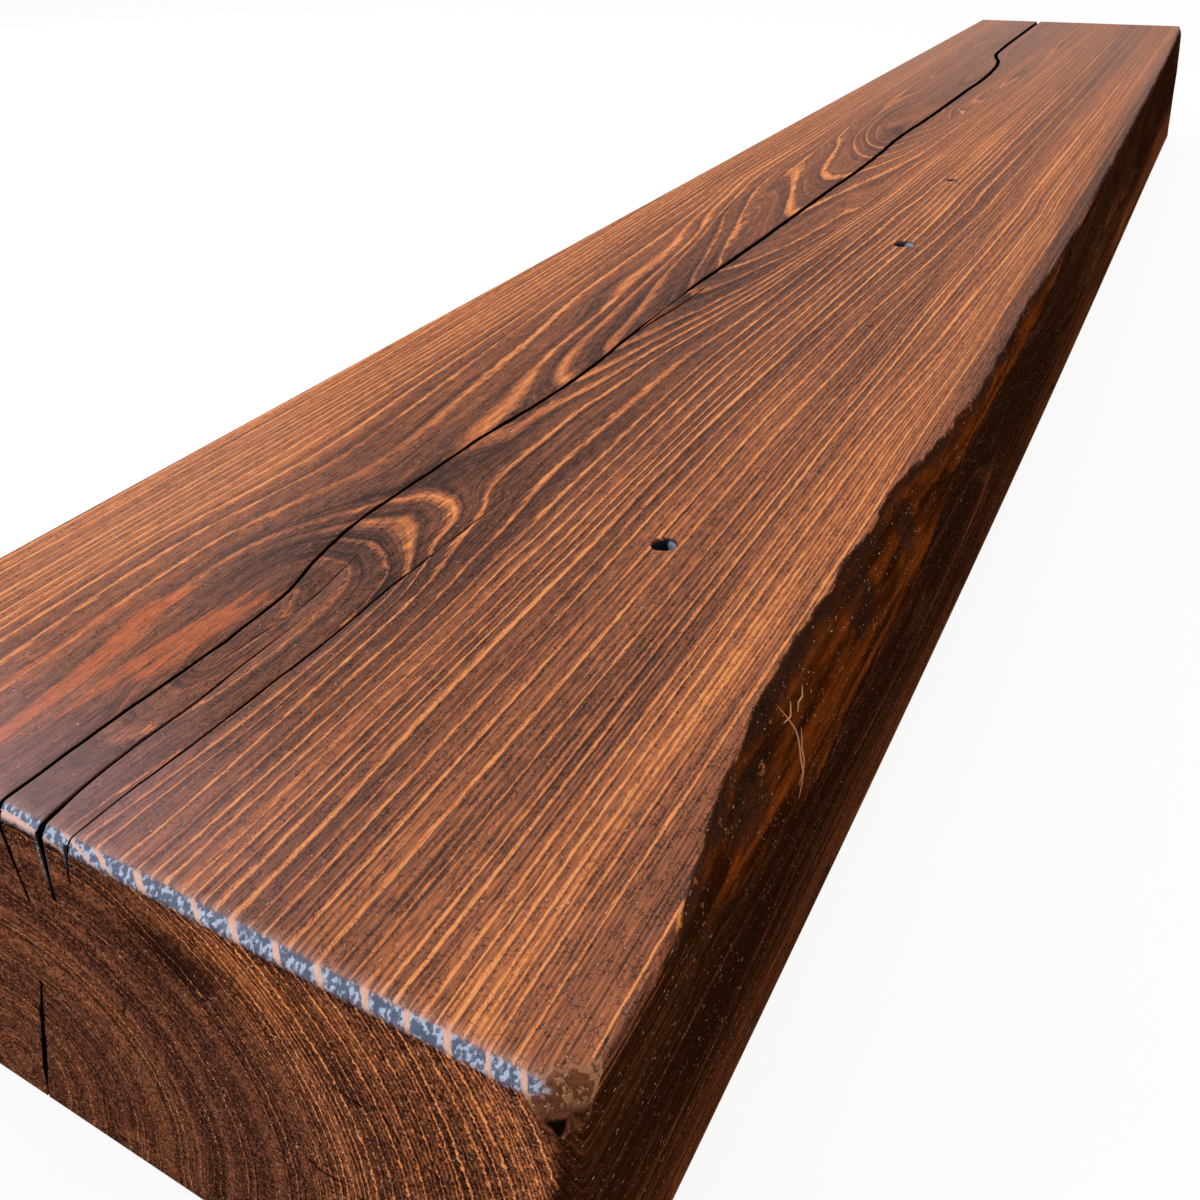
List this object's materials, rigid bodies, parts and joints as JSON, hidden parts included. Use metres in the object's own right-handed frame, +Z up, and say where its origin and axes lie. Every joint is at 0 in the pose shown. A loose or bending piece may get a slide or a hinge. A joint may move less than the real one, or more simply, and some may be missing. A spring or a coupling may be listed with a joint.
{
  "type": "mantel beam",
  "caption": "Sawn solid timber beam for use as a mantel shelf, with a waney front arris, long drying checks and old nail holes.",
  "frame": {"origin": "middle of the bottom face, at the middle of the beam's own box", "axes": "+X along the beam from the near, checked end to the far end, +Y to the flat back that meets the wall, +Z up"},
  "size_m": [1.6318, 0.2612, 0.127],
  "materials": {
    "cypress": "oiled dark stain, satin, brushed grain"
  },
  "bodies": {
    "root": {"mantel_beam": "cypress"}
  },
  "joints": []
}
